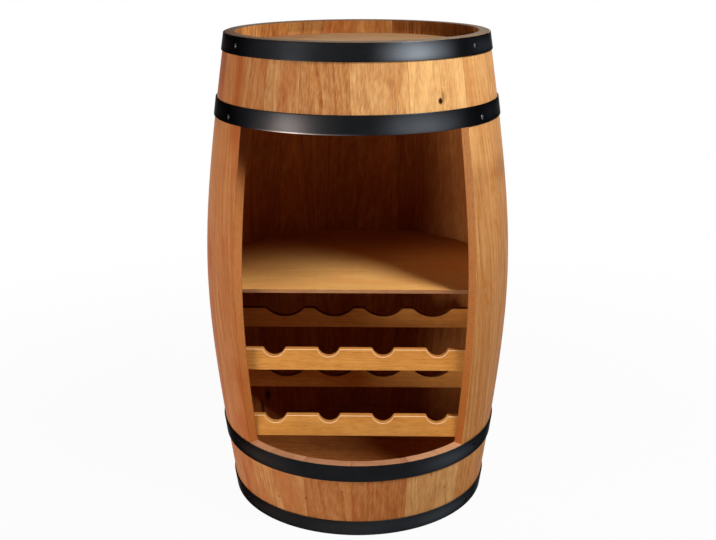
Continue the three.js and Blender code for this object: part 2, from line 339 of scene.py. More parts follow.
class WoodDrawing:
    """One wood finish on the drawing board: patterns that its colour, gloss and relief share.

    The swings of each pattern are across, along and into the board.
    """

    drift = Pattern((7.0, 1.7, 7.0), 1.0)
    ripple = Pattern((34.0, 7.0, 34.0), 2.0)
    wobble = Pattern((160.0, 22.0, 160.0), 2.0)
    fibre = Pattern((620.0, 9.0, 620.0), 2.0, 0.6)
    thread = Pattern((150.0, 6.5, 150.0), 4.0, 0.65)
    shimmer = Pattern((85.0, 33.0, 85.0), 3.0, 0.62)
    fleck = Pattern((330.0, 62.0, 330.0), 2.0, 0.6)
    cell = Pattern((1500.0, 52.0, 1500.0), 1.0)
    cloud = Pattern((30.0, 9.0, 30.0), 3.0, 0.6)
    wash = Pattern((15.0, 5.0, 15.0), 2.0)
    belly_top = (700 * MM, 630 * MM)
    belly_foot = (100 * MM, 170 * MM)
    relief_height = 0.25 * MM

    def __init__(self, finish: WoodFinish) -> None:
        """Read the patterns.

        Args:
            finish: The finish to draw.
        """
        self.finish = finish
        self.pen = pen = Pen(bpy.data.materials.new(finish.name))
        _, self.y, self.z = pen.split(pen.place())
        grain = pen.attribute("grain")
        across, along, depth = pen.split(grain)
        drift = pen.noise(grain, self.drift)
        ripple = pen.noise(grain, self.ripple)
        swing = (across * across + depth * depth).root() + drift * (60 * MM) + ripple * (8.5 * MM)
        swing = swing + pen.noise(grain, self.wobble) * (1.6 * MM)
        self.knots: Wire | None = None
        for knot in finish.knots:
            one = knot.draw(pen)
            self.knots = one if self.knots is None else self.knots.greater(one)
        if self.knots is not None:
            swing = swing + self.knots * (9 * MM)
        rings = swing * (1 / finish.ring_pitch)
        phase = rings.fraction()
        self.late = phase.ramp(0.35, 0.93) - phase.ramp(0.93, 1.0)
        self.years = pen.streaks(rings * 0.8, 3.0)
        self.fibres = pen.noise(grain, self.fibre)
        self.threads = pen.noise(grain, self.thread)
        slanted = pen.join(across + along * 0.26 + drift * (50 * MM), along, depth)
        leaning = pen.join(across - along * 0.16 + ripple * (12 * MM), along, depth)
        self.silk = pen.noise(slanted, self.shimmer)
        self.flecks = pen.noise(leaning, self.fleck)
        self.pores = pen.noise(grain, self.cell).ramp(0.10, 0.22) * finish.pores
        self.clouds = pen.noise(grain, self.cloud)
        self.washes = pen.noise(grain, self.wash)
        self.seam = pen.attribute("edge", "Fac").ramp(finish.joint_width, 0.0) * finish.joint_depth

    def _share(self, tone: Wire) -> Wire:
        """Blend the growth rings and the finer figure.

        Args:
            tone: How much paler the board is than its neighbours.

        Returns:
            How deep the grain's colour is, nought to one.
        """
        finish = self.finish
        belly = self.z.ramp(*self.belly_top) * self.z.ramp(*self.belly_foot) * finish.straight
        lines = self.late * (self.clouds.ramp(-0.18, 0.16) + belly * 0.15) * (belly * 0.15 + 1.0)
        lift = self.years * 0.8 + self.threads * 0.8 + self.fibres * 0.4 - lines * finish.rings
        lift = lift + belly * 0.06 + (self.threads + self.fibres) * belly * 0.7
        lift = lift + (self.silk + self.flecks) * 1.4 * (1.0 - belly * 0.5)
        share = finish.depth - lift * finish.figure - tone - self.clouds * 1.3 * finish.patches
        return share.clamped()

    def _colour(self) -> Wire:
        """Lay the grain's colour, the stains, pores, joints and knots over each other, then the colour for
        stains, painted shade and painted highlights.

        Returns:
            The colour.
        """
        pen, finish, palette = self.pen, self.finish, self.finish.palette
        joint = tint(palette.joint)
        tone, red, painted_light_fade = pen.split(pen.attribute("board"))
        # Painted light falloff: the third board value makes the wood paler towards the top.
        share = self._share(tone + painted_light_fade * (self.z - 0.4) * 2.5)
        colour = pen.mix(share, tint(palette.pale), tint(palette.deep))
        warm = self.washes.ramp(-0.02, 0.18) * 0.9 * finish.patches + red
        colour = pen.mix(warm.clamped(), colour, tint(palette.ruddy))
        gold = self.washes.ramp(-0.02, -0.20) * self.silk.ramp(-0.05, 0.12) * 0.8 * finish.patches
        gold = gold - red * 0.3
        if finish.foot:
            gold = gold + (0.55 - self.z) * finish.foot
        colour = pen.mix(gold.clamped(), colour, tint(palette.golden))
        colour = pen.mix(self.pores, colour, joint)
        colour = pen.mix(self.seam, colour, joint)
        if self.knots is not None:
            colour = pen.mix(self.knots * 0.9, colour, joint)
        stain_shade_and_sheen = pen.attribute("wear_shade_and_sheen", "Fac")
        # Painted shade: the shelf darkens towards the back.
        if finish.shade:
            near, far, most = finish.shade
            stain_shade_and_sheen = stain_shade_and_sheen + self.y.ramp(near, far) * most
        return pen.mix(stain_shade_and_sheen.clamped(), colour, tint(palette.stain_shade_and_sheen))

    def surface(self) -> bpy.types.Material:
        """Draw the surface.

        Returns:
            The material.
        """
        rough = self.finish.roughness + self.years * 0.14 + self.pores * 0.25 + self.late * 0.05
        height = self.years * 0.5 - self.pores * 0.8 + self.fibres * 0.7 - self.late * 0.2
        sockets = {
            "Base Color": self._colour(),
            "Roughness": rough + self.seam * 0.2,
            "Normal": self.pen.bump(height, self.finish.relief, self.relief_height),
            "Specular IOR Level": 0.02,
        }
        return self.pen.surface(sockets)


@dataclass(frozen=True)
class SteelFinish:
    """Blackened steel: satin, a little cloudy, rubbed paler along its edges, with painted highlights and
    reflections where its pieces ask for them.
    """

    name: str
    base: Rgb
    rubbed_and_sheen: Rgb
    warm: Rgb
    roughness: float = 0.36
    rim: Tint = (0.09, 0.09, 0.09, 1.0)
    haze: Pattern = Pattern((16.0, 16.0, 30.0), 3.0, 0.6)
    dust: Pattern = Pattern((260.0, 260.0, 260.0), 3.0, 0.65)
    scratch: Pattern = Pattern((60.0, 60.0, 1100.0), 2.0)
    edge: float = 1.2 * MM
    turn: float = 60 * MM
    relief: float = 0.2 * MM

    def make(self) -> bpy.types.Material:
        """Draw the finish.

        Returns:
            The material.
        """
        pen = Pen(bpy.data.materials.new(self.name))
        place = pen.place()
        haze, dust, scratches = (pen.noise(place, one) for one in (self.haze, self.dust, self.scratch))
        # Painted highlights and reflections: the mesh's value brightens the base colour where the lamps would
        # shine on the steel.
        wear_shade_and_sheen = pen.attribute("wear_shade_and_sheen", "Fac")
        rub_and_sheen = pen.attribute("edge", "Fac").ramp(self.edge, 0.0) * haze.ramp(-0.08, 0.12)
        cloudy = 0.010 * haze.ramp(-0.15, 0.25) + 0.010 * dust.ramp(0.0, 0.25)
        painted_sheen = wear_shade_and_sheen * (0.95 + haze * 0.14 + scratches * 0.12)
        share = cloudy + rub_and_sheen * (0.03 + wear_shade_and_sheen * 0.5) + painted_sheen
        # Painted reflection: the highlight's tint is warm on the left and bluish on the right.
        side = pen.split(place)[0].ramp(-self.turn, self.turn)
        shine = pen.mix(side, tint(self.warm), tint(self.rubbed_and_sheen))
        sockets = {
            "Base Color": pen.mix(share.clamped(), tint(self.base), shine),
            "Roughness": self.roughness + haze * 0.08 + dust * 0.10 + scratches * 0.06,
            "Normal": pen.bump(dust * 0.5 + scratches * 0.25, 0.2, self.relief),
            "Metallic": 1.0,
            "Specular Tint": self.rim,
        }
        return pen.surface(sockets)


class Shop:
    """Every finish of the cabinet, made once and handed to the pieces."""

    def __init__(self) -> None:
        """Make the finishes."""
        self.oiled = WoodFinish(
            "oiled_stave_wood",
            Palette((252, 200, 132), (150, 76, 26), (176, 92, 44), (192, 112, 32), (52, 26, 12)),
            depth=0.56,
            figure=0.38,
            straight=1.0,
            joint_depth=0.22,
            foot=0.25,
            knots=(
                Knot((0.1303, -0.1999, 0.7093), 3.6 * MM, 4.4 * MM, 1.5),
                Knot((0.1345, -0.1961, 0.7150), 2.2 * MM, 9.0 * MM, 0.6),
                Knot((-0.1263, -0.1957, 0.0517), 2.4 * MM, 2.2 * MM, 0.5),
                Knot((-0.0796, -0.2218, 0.0632), 2.2 * MM, 2.4 * MM, 0.55),
                Knot((-0.0203, -0.2383, 0.0837), 2.0 * MM, 2.4 * MM, 0.5),
                Knot((0.1478, -0.1814, 0.0633), 2.6 * MM, 2.4 * MM, 0.5),
            ),
        ).make()
        self.chime = WoodFinish(
            "chime_stave_wood",
            Palette(
                (242, 178, 106), (144, 76, 28), (168, 90, 40), (190, 110, 30), (52, 26, 12), (98, 58, 28)
            ),  # fmt: skip
            depth=0.5,
            figure=0.6,
            joint_depth=0.4,
        ).make()
        self.inside = WoodFinish(
            "toasted_stave_wood",
            Palette((202, 130, 68), (138, 76, 34), (150, 76, 36), (164, 102, 40), (34, 16, 8)),
            roughness=0.58,
            joint_depth=0.3,
            knots=(
                Knot((-0.1765, 0.1111, 0.0945), 8.0 * MM, 8.5 * MM),
                Knot((-0.1845, 0.0930, 0.0760), 4.5 * MM, 26.0 * MM, 0.8),
            ),
        ).make()
        self.cut = WoodFinish(
            "sawn_stave_edge",
            Palette((238, 168, 106), (198, 124, 66), (196, 118, 62), (192, 112, 50), (96, 54, 30)),
            roughness=0.6,
            ring_pitch=4.5 * MM,
            figure=0.35,
            pores=0.5,
            joint_depth=0.0,
            foot=2.0,
        ).make()
        self.lip = WoodFinish(
            "lower_stave_ends",
            Palette((226, 172, 130), (186, 134, 96), (180, 118, 84), (204, 150, 100), (80, 46, 26)),
            roughness=0.6,
            ring_pitch=3 * MM,
            figure=0.4,
            pores=0.5,
            joint_depth=0.4,
        ).make()
        self.rim = WoodFinish(
            "rim_end_grain",
            Palette((142, 120, 98), (98, 80, 64), (108, 82, 64), (116, 96, 70), (60, 38, 24)),
            roughness=0.65,
            ring_pitch=3 * MM,
            figure=0.4,
            pores=0.6,
        ).make()
        self.board = WoodFinish(
            "head_board_wood",
            Palette((220, 174, 124), (172, 124, 82), (174, 120, 80), (182, 132, 84), (52, 26, 12)),
            roughness=0.5,
            figure=0.4,
        ).make()
        self.rack = WoodFinish(
            "rack_rail_wood",
            # The last colour is the painted highlight along the front rails' seat edges.
            Palette(
                (228, 158, 80), (176, 106, 40), (190, 114, 48), (200, 134, 44), (90, 50, 24), (255, 220, 176)
            ),  # fmt: skip
            roughness=0.5,
            ring_pitch=5 * MM,
            figure=0.45,
            patches=0.35,
            joint_depth=0.0,
        ).make()
        self.shelf = WoodFinish(
            "shelf_board_wood",
            Palette((255, 208, 128), (240, 160, 78), (236, 156, 82), (240, 174, 80), (90, 50, 24)),
            roughness=0.5,
            ring_pitch=7 * MM,
            figure=0.34,
            patches=0.4,
            pores=0.2,
            joint_depth=0.0,
            shade=(-0.03, 0.17, 0.64),
        ).make()
        # Painted shade: a dark copy of the rail wood for the upward faces of the rear rails' seats.
        self.rail_top = WoodFinish(
            "shaded_rail_top",
            Palette((118, 68, 30), (76, 40, 18), (84, 42, 20), (96, 58, 22), (40, 20, 8)),
            roughness=0.6,
            ring_pitch=5 * MM,
            joint_depth=0.0,
        ).make()
        self.shelf_edge = WoodFinish(
            "shelf_board_edge",
            Palette((190, 136, 94), (150, 102, 66), (150, 96, 62), (168, 116, 66), (90, 50, 24)),
            roughness=0.6,
            ring_pitch=4 * MM,
            joint_depth=0.0,
        ).make()
        # For the hoops and nails the second and third colours are the painted highlights' bluish and warm
        # tints.
        self.hoop = SteelFinish("black_hoop_steel", (26, 27, 29), (136, 142, 150), (136, 122, 116)).make()
        self.nail = SteelFinish(
            "black_nail_steel", (32, 32, 34), (180, 180, 184), (150, 146, 140), roughness=0.24
        ).make()


class Piece:
    """One separate piece in the making: its skin, then its finish and its place on the object."""

    sharp = math.radians(30)

    def __init__(self, name: str) -> None:
        """Start an empty piece."""
        self.name = name
        self.skin = bmesh.new()

    def loop(self, points: Iterable[Vector]) -> list[bmesh.types.BMVert]:
        """Add one row of points."""
        return [self.skin.verts.new(point) for point in points]

    def wrap(self, rows: Sequence[Sequence[bmesh.types.BMVert]], slots: Sequence[int] | None = None) -> None:
        """Skin closed rows of points one to the next, and close both ends.

        Args:
            rows: The rows, each closed on itself.
            slots: The finish of each strip along the rows.
        """
        count = len(rows[0])
        for low, high in zip(rows, rows[1:]):
            for i in range(count):
                j = (i + 1) % count
                face = self.skin.faces.new((low[i], low[j], high[j], high[i]))
                face.material_index = slots[i] if slots else 0
        for end in (rows[0], rows[-1]):
            face = self.skin.faces.new(end)
            face.material_index = Face.CUT if slots else 0

    def ease(self, width: float, segments: int = 2) -> None:
        """Round the sharp edges.

        Args:
            width: How wide the rounding is.
            segments: How many steps it has.
        """
        bmesh.ops.recalc_face_normals(self.skin, faces=self.skin.faces)
        edges = [e for e in self.skin.edges if e.is_manifold and e.calc_face_angle(0.0) > self.sharp]
        settings = {"offset": width, "offset_type": "OFFSET", "segments": segments, "profile": 0.5}
        bmesh.ops.bevel(self.skin, geom=edges, affect="EDGES", clamp_overlap=True, **settings)

    def second(self, chosen: Callable[[Vector], bool]) -> None:
        """Give some faces the second finish, and the rest the first.

        Args:
            chosen: Tells by its direction whether a face gets the second finish.
        """
        for face in self.skin.faces:
            face.normal_update()
            face.material_index = int(chosen(face.normal))

    def finish(
        self,
        materials: Sequence[bpy.types.Material],
        slot: str,
        nodes: Sequence[str],
        grain: Callable[[Vector], Vector] | None = None,
        edge: Callable[[Vector], float] | None = None,
        board: Triple = (0.0, 0.0, 0.0),
        wear_shade_and_sheen: Callable[[Vector], float] | None = None,
        crease: float = 35.0,
    ) -> bpy.types.Object:
        """Close the piece, dress it and set it on the object.

        Args:
            materials: Its finishes, in the order of the faces' slots.
            slot: The record's slot for the piece's finish; not used.
            nodes: The solids that it stands for.
            grain: Gives a point's place in the wood: across, along and into the board.
            edge: Gives a point's distance from the nearest joint or rim.
            board: The board's tone, its redness and how much paler it grows from foot to top, the last a
                painted light falloff.
            wear_shade_and_sheen: Gives how far a point takes its stains, painted shade and painted
                highlights, 0 to 1.
            crease: Edges that turn by more degrees than this stay sharp in the shading.

        Returns:
            The finished piece.
        """
        bmesh.ops.recalc_face_normals(self.skin, faces=self.skin.faces)
        for face in self.skin.faces:
            face.smooth = True
        for rim in self.skin.edges:
            if rim.is_manifold and rim.calc_face_angle(0.0) > math.radians(crease):
                rim.smooth = False
        mesh = bpy.data.meshes.new(self.name)
        self.skin.to_mesh(mesh)
        self.skin.free()
        places = [vertex.co.copy() for vertex in mesh.vertices]
        self._note(mesh, "grain", [grain(p) if grain else p for p in places])
        self._note(mesh, "board", [board] * len(places))
        self._note(mesh, "edge", [edge(p) if edge else 1.0 for p in places])
        if wear_shade_and_sheen:
            self._note(mesh, "wear_shade_and_sheen", [wear_shade_and_sheen(p) for p in places])
        for material in materials:
            mesh.materials.append(material)
        made = bpy.data.objects.new(self.name, mesh)
        bpy.context.scene.collection.objects.link(made)
        made.modifiers.new("even_shading", "WEIGHTED_NORMAL").keep_sharp = True
        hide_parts(*nodes)
        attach(made, ROOT)
        return made

    @staticmethod
    def _note(mesh: bpy.types.Mesh, name: str, values: Sequence[float] | Sequence[Sequence[float]]) -> None:
        """Write a number or a vector on every point of a mesh.

        Args:
            mesh: The mesh.
            name: What the values are called.
            values: One number or vector for each point.
        """
        if isinstance(values[0], float):
            mesh.attributes.new(name, "FLOAT", "POINT").data.foreach_set("value", values)
        else:
            flat = [part for value in values for part in value]
            mesh.attributes.new(name, "FLOAT_VECTOR", "POINT").data.foreach_set("vector", flat)


@dataclass(frozen=True)
class BarrelForm:
    """The curve of the barrel's wall."""

    height: float = 800 * MM
    end_radius: float = 217 * MM
    bilge_radius: float = 258.5 * MM
    wall: float = 17 * MM
    straighten: float = 1.9
    axis_y: float = -9.841 * MM

    def outer(self, z: float) -> float:
        """Give the outer radius at a height.

        Args:
            z: The height.

        Returns:
            The radius.
        """
        swing = self.straighten * (2 * z / self.height - 1)
        share = (math.hypot(1, swing) - 1) / (math.hypot(1, self.straighten) - 1)
        return self.bilge_radius - (self.bilge_radius - self.end_radius) * share

    def inner(self, z: float) -> float:
        """Give the inner radius at a height."""
        return self.outer(z) - self.wall

    def lean(self, z: float) -> float:
        """Give the angle by which the wall leans outwards as it rises, in radians."""
        step = 0.5 * MM
        return math.atan2(self.outer(z + step) - self.outer(z - step), 2 * step)

    def point(self, radius: float, angle: float, z: float) -> Vector:
        """Place a point by its distance from the axis, its angle from the front and its height."""
        turn = math.radians(angle)
        return Vector((radius * math.sin(turn), self.axis_y - radius * math.cos(turn), z))

    def angle(self, point: Vector) -> float:
        """Give a point's angle from the front towards the right, -180 to 180 degrees."""
        return math.degrees(math.atan2(point.x, self.axis_y - point.y))

    def distance(self, point: Vector) -> float:
        """Give a point's distance from the axis."""
        return math.hypot(point.x, point.y - self.axis_y)


@dataclass
class Assembly:
    """A part of the cabinet, built on the barrel's curve from the shop's finishes."""

    form: BarrelForm
    shop: Shop
    seed: int = 0

    def __post_init__(self) -> None:
        """Start the draws that set its boards apart."""
        self.chance = random.Random(self.seed)

    def build(self) -> list[bpy.types.Object]:
        """Build its pieces; each kind of assembly has its own way."""
        raise NotImplementedError


@dataclass(frozen=True)
class Stave:
    """One stave: its ends in metres, its joints in degrees and how its wood lies and looks."""

    wall: "StaveWall"
    name: str
    ends: Pair
    angles: Pair
    jambs: tuple[bool, bool]
    look: Triple
    heart: Pair
    start: float
    slant: float

    @property
    def middle(self) -> float:
        """Give the angle of its middle."""
        return (self.angles[0] + self.angles[1]) / 2

    def _turn(self, point: Vector) -> float:
        """Give a point's angle from the stave's middle, in degrees."""
        return (self.wall.form.angle(point) - self.middle + 180) % 360 - 180

    def _gaps(self, point: Vector) -> Pair:
        """Give a point's distance from both joints, along the wall."""
        angle, reach = self._turn(point) + self.middle, self.wall.form.distance(point)
        return math.radians(angle - self.angles[0]) * reach, math.radians(self.angles[1] - angle) * reach

    def _beside(self, z: float) -> bool:
        """Tell whether a height is beside the opening."""
        return self.wall.sill < z < self.wall.lintel

    def grain(self, point: Vector) -> Vector:
        """Find a point's place in the wood.

        Args:
            point: The point.

        Returns:
            Its place across, along and into the stave.
        """
        form = self.wall.form
        depth = form.outer(point.z) - form.distance(point)
        across = math.radians(self._turn(point)) * form.bilge_radius - self.heart[0]
        across += self.slant * (point.z - form.height / 2)
        return Vector((across, point.z + self.start, depth + self.heart[1]))

    def edge(self, point: Vector) -> float:
        """Give a point's distance from the nearest joint, leaving out one that stands free."""
        free = [jamb and self._beside(point.z) for jamb in self.jambs]
        return min((max(gap, 0.0) for lone, gap in zip(free, self._gaps(point)) if not lone), default=1.0)

    def stain_and_shade(self, point: Vector) -> float:
        """Tell how dark a point is painted: by its stains and by painted shade.

        Args:
            point: A point of its sawn edge, its outside or its inside.

        Returns:
            The darkening, 0 to 1.
        """
        wall, form = self.wall, self.wall.form
        if any(self.jambs) and self._beside(point.z):
            if self._gaps(point)[self.jambs.index(True)] < wall.skin:
                return read(dict(wall.jamb_stains_and_shade)[self.name], point.z)
        if form.distance(point) >= form.outer(point.z) - wall.outer_depth:
            return read(dict(wall.outer_stains_and_shade).get(self.name, ((0.0, 0.0),)), point.z)
        above = point.z > wall.crozes[1][1] + wall.groove_margin
        return dict(wall.chime_stains_and_shade).get(self.name, 0.0) if above else 0.0

    def _levels(self) -> list[float]:
        """Choose the heights of its rows, closer at its ends, grooves and jambs.

        Returns:
            The heights, in order.
        """
        wall = self.wall
        low, high = self.ends
        levels = set(spread(low, high, max(6, round((high - low) / wall.row_pitch))))
        for rise in (wall.end_chamfer * wall.chamfer_step, wall.end_chamfer):
            levels |= {low + rise, high - rise}
        step, run = wall.groove_step, wall.run_out
        marks = [m for bottom, top in wall.crozes for m in (bottom - step, bottom, top, top + step)]
        marks += [m for level in (wall.sill, wall.lintel) for m in (level - run, level + run)]
        kept: list[float] = []
        for level in sorted(levels | {mark for mark in marks if low < mark < high}):
            if not kept or level - kept[-1] > step / 2:
                kept.append(level)
        return kept

    def _side(self, radius: float, z: float, outward: int, columns: int) -> list[Vector]:
        """Draw its outer or inner face at one height, rounded into both joints.

        Args:
            radius: The face's radius.
            z: The height.
            outward: 1 for the outer face, -1 for the inner one.
            columns: How many steps the face has.

        Returns:
            The points, from the first joint to the second.
        """
        wall, form = self.wall, self.wall.form
        inset = wall.inset(z, self.ends) * wall.chamfer_side
        free = wall.sill + wall.run_out <= z <= wall.lintel - wall.run_out
        corners: list[list[Vector]] = []
        for joint, way, jamb in zip(self.angles, (1, -1), self.jambs):
            arris = wall.jamb_arris if jamb and free else wall.joint_arris
            corner = []
            for turn in (0.0, math.pi / 4, math.pi / 2):
                reach = radius - outward * arris * (1 - math.sin(turn))
                step = math.degrees((inset + arris * (1 - math.cos(turn))) / reach)
                corner.append(form.point(reach, joint + way * step, z))
            corners.append(corner)
        margin = math.degrees((inset + wall.margin) / radius)
        angles = spread(self.angles[0] + margin, self.angles[1] - margin, columns)
        return corners[0] + [form.point(radius, angle, z) for angle in angles] + corners[1][::-1]

    def build(self) -> bpy.types.Object:
        """Build the stave.

        Returns:
            The piece.
        """
        wall, form, shop = self.wall, self.wall.form, self.wall.shop
        columns = max(4, round(wall.width(self.angles) / wall.column_pitch))
        piece = Piece(self.name + "_dressed")
        rows = []
        for z in self._levels():
            inset = wall.inset(z, self.ends)
            outside = self._side(form.outer(z) - inset, z, 1, columns)
            inside = self._side(form.inner(z) + inset + wall.groove(z), z, -1, columns)
            rows.append(piece.loop(outside + inside[::-1]))
        strips = len(rows[0]) // 2 - 1
        piece.wrap(rows, [Face.OUTSIDE] * strips + [Face.CUT] + [Face.INSIDE] * strips + [Face.CUT])
        for skin in piece.skin.faces:
            level = skin.calc_center_median().z
            if skin.material_index == Face.INSIDE and level > wall.crozes[1][1]:
                skin.material_index = Face.CHIME
            if level > self.ends[1] - wall.end_chamfer:
                skin.material_index = Face.RIM
        end = shop.lip if self.ends[1] == wall.sill else shop.rim
        finishes = [shop.oiled, shop.inside, shop.cut, end, shop.chime]
        nodes = [self.name]
        return piece.finish(finishes, "oiled_wood", nodes, self.grain, self.edge, self.look, self.stain_and_shade)


@dataclass
class StaveWall(Assembly):
    """The 26 staves: 14 full ones round the sides and back, 6 short ones over and 6 under the opening.

    The edges are the joints' angles from the front towards the right. A look is a stave's tone, its redness
    and how much paler it grows from foot to top, the last a painted light falloff.
    A stain is its heights and how dark it is there; the stains are partly painted shade: at the top of the
    left jamb, on the outsides of the side staves and in the chime at the right back.
    """

    seed: int = 41
    sill: float = 133.7 * MM
    lintel: float = 665 * MM
    full_edges: tuple[float, ...] = (
        48.00, 66.59, 87.41, 104.15, 123.85, 141.70, 162.90, 181.86,
        198.96, 219.41, 237.63, 257.71, 274.45, 293.78, 312.00,
    )  # fmt: skip
    front_edges: tuple[float, ...] = (-48.00, -35.90, -20.54, -1.06, 21.31, 35.14, 48.00)
    full_looks: tuple[Triple, ...] = (
        (0.13, -0.95, 0.12), (-0.02, -0.60, 0.10), (0.05, 0.0, 0.05), (-0.05, 0.1, 0.0), (0.06, 0.0, 0.05),
        (-0.1, 0.15, 0.0), (0.1, 0.0, 0.0), (-0.02, 0.1, 0.05), (0.08, 0.05, 0.0), (-0.1, 0.1, 0.0),
        (0.04, 0.0, 0.05), (-0.06, 0.25, 0.0), (0.0, 0.52, 0.10), (0.02, 0.60, 0.07),
    )  # fmt: skip
    # The last two upper staves are paler and less red: pale boards, partly a painted highlight of the lamp on
    # the top band's right.
    upper_looks: tuple[Triple, ...] = (
        (-0.10, 0.18, 0.0), (-0.01, 0.10, 0.0), (-0.12, 0.04, 0.0),
        (0.04, -0.08, 0.0), (0.36, -0.4, 0.0), (0.31, -0.35, 0.0),
    )  # fmt: skip
    lower_looks: tuple[Triple, ...] = (
        (0.03, 0.32, 0.0), (0.16, 0.27, 0.0), (-0.11, 0.40, 0.0),
        (-0.15, 0.38, 0.0), (0.10, 0.02, 0.0), (0.19, -0.15, 0.0),
    )  # fmt: skip
    chime_stains_and_shade: tuple[tuple[str, float], ...] = (
        ("stave_full_04", 0.45), ("stave_full_05", 0.45), ("stave_full_06", 0.35), ("stave_full_09", 0.40),
    )  # fmt: skip
    outer_stains_and_shade: tuple[tuple[str, Marks], ...] = (
        ("stave_full_01", (
            (0.12, 0.0), (0.24, 0.17), (0.45, 0.17), (0.55, 0.12), (0.585, 0.28), (0.61, 0.02), (0.70, 0.0),
        )),
        ("stave_full_02", (
            (0.12, 0.0), (0.24, 0.12), (0.45, 0.12), (0.55, 0.08), (0.585, 0.45), (0.61, 0.02), (0.70, 0.0),
        )),
        # The dark tops of stave_full_13 and stave_full_14 are painted shade.
        ("stave_full_13", (
            (0.08, 0.0), (0.18, 0.22), (0.40, 0.20), (0.50, 0.06), (0.62, 0.04), (0.69, 0.30), (0.75, 0.48),
        )),
        ("stave_full_14", (
            (0.18, 0.0), (0.26, 0.12), (0.40, 0.16), (0.50, 0.04), (0.62, 0.0), (0.69, 0.16),
        )),
    )  # fmt: skip
    jamb_stains_and_shade: tuple[tuple[str, Marks], ...] = (
        ("stave_full_01", ((0.13, 0.18), (0.30, 0.16), (0.55, 0.22))),
        # stave_full_14's dark top, from 0.60 up, is painted shadow of the band over the opening.
        ("stave_full_14", ((0.13, 0.0), (0.30, 0.04), (0.48, 0.0), (0.57, 0.0), (0.60, 0.60), (0.62, 0.92))),
    )
    joint_arris: float = 0.3 * MM
    jamb_arris: float = 1.5 * MM
    end_chamfer: float = 1.0 * MM
    chamfer_step: float = 0.3
    chamfer_side: float = 0.35
    run_out: float = 4 * MM
    margin: float = 3 * MM
    skin: float = 0.15 * MM
    outer_depth: float = 4 * MM
    croze_depth: float = 4.2 * MM
    crozes: tuple[Pair, ...] = ((23.85 * MM, 39.15 * MM), (760.85 * MM, 776.15 * MM))
    groove_step: float = 0.1 * MM
    groove_margin: float = 0.3 * MM
    row_pitch: float = 17 * MM
    column_pitch: float = 7 * MM

    def width(self, angles: Pair) -> float:
        """Give a stave's width at the belly."""
        return math.radians(angles[1] - angles[0]) * self.form.bilge_radius

    def inset(self, z: float, ends: Pair) -> float:
        """Give how far a stave's chamfered end is drawn in at a height."""
        return self.end_chamfer * max(0.0, 1 - min(z - ends[0], ends[1] - z) / self.end_chamfer)

    def groove(self, z: float) -> float:
        """Give how deep the inner face is cut at a height."""
        slack = 0.001 * MM
        return self.croze_depth * any(low - slack <= z <= high + slack for low, high in self.crozes)

    def build(self) -> list[bpy.types.Object]:
        """Build the whole wall.

        Returns:
            Its staves.
        """
        made = []
        tall, draw = self.form.height, self.chance.uniform
        for name, ends, edges, looks in (
            ("stave_full_{:02d}", (0.0, tall), self.full_edges, self.full_looks),
            ("stave_upper_{}", (self.lintel, tall), self.front_edges, self.upper_looks),
            ("stave_lower_{}", (0.0, self.sill), self.front_edges, self.lower_looks),
        ):
            full = edges is self.full_edges
            for i, angles in enumerate(zip(edges, edges[1:])):
                jambs = (full and i == 0, full and i == len(looks) - 1)
                heart = (draw(-0.6, 0.6) * self.width(angles), draw(0.02, 0.09))
                wood = (heart, draw(0, 40), draw(-0.09, 0.09))
                stave = Stave(self, name.format(i + 1), ends, angles, jambs, looks[i], *wood)
                made.append(stave.build())
        return made


@dataclass(frozen=True)
class PaintedSheen:
    """A painted highlight on a hoop: its angle, its reach to each side, how strong and how high up the strap.
    """

    hoop: str
    angle: float
    reach: float
    depth: float
    peak: float

    def share(self, angle: float, height: float) -> float:
        """Tell how strong the painted highlight is at a point.

        Args:
            angle: The point's angle from the front, in degrees.
            height: How far up the strap it is, 0 to 1.

        Returns:
            The painted highlight's strength, nought outside its reach.
        """
        share = max(0.0, 1 - abs(angle - self.angle) / self.reach)
        up = self.peak + 0.1 if height < self.peak else 1.15 - self.peak
        level = max(0.0, 1 - (abs(height - self.peak) / (up if self.peak else 0.05)) ** 2)
        return self.depth * share * share * (3 - 2 * share) * level


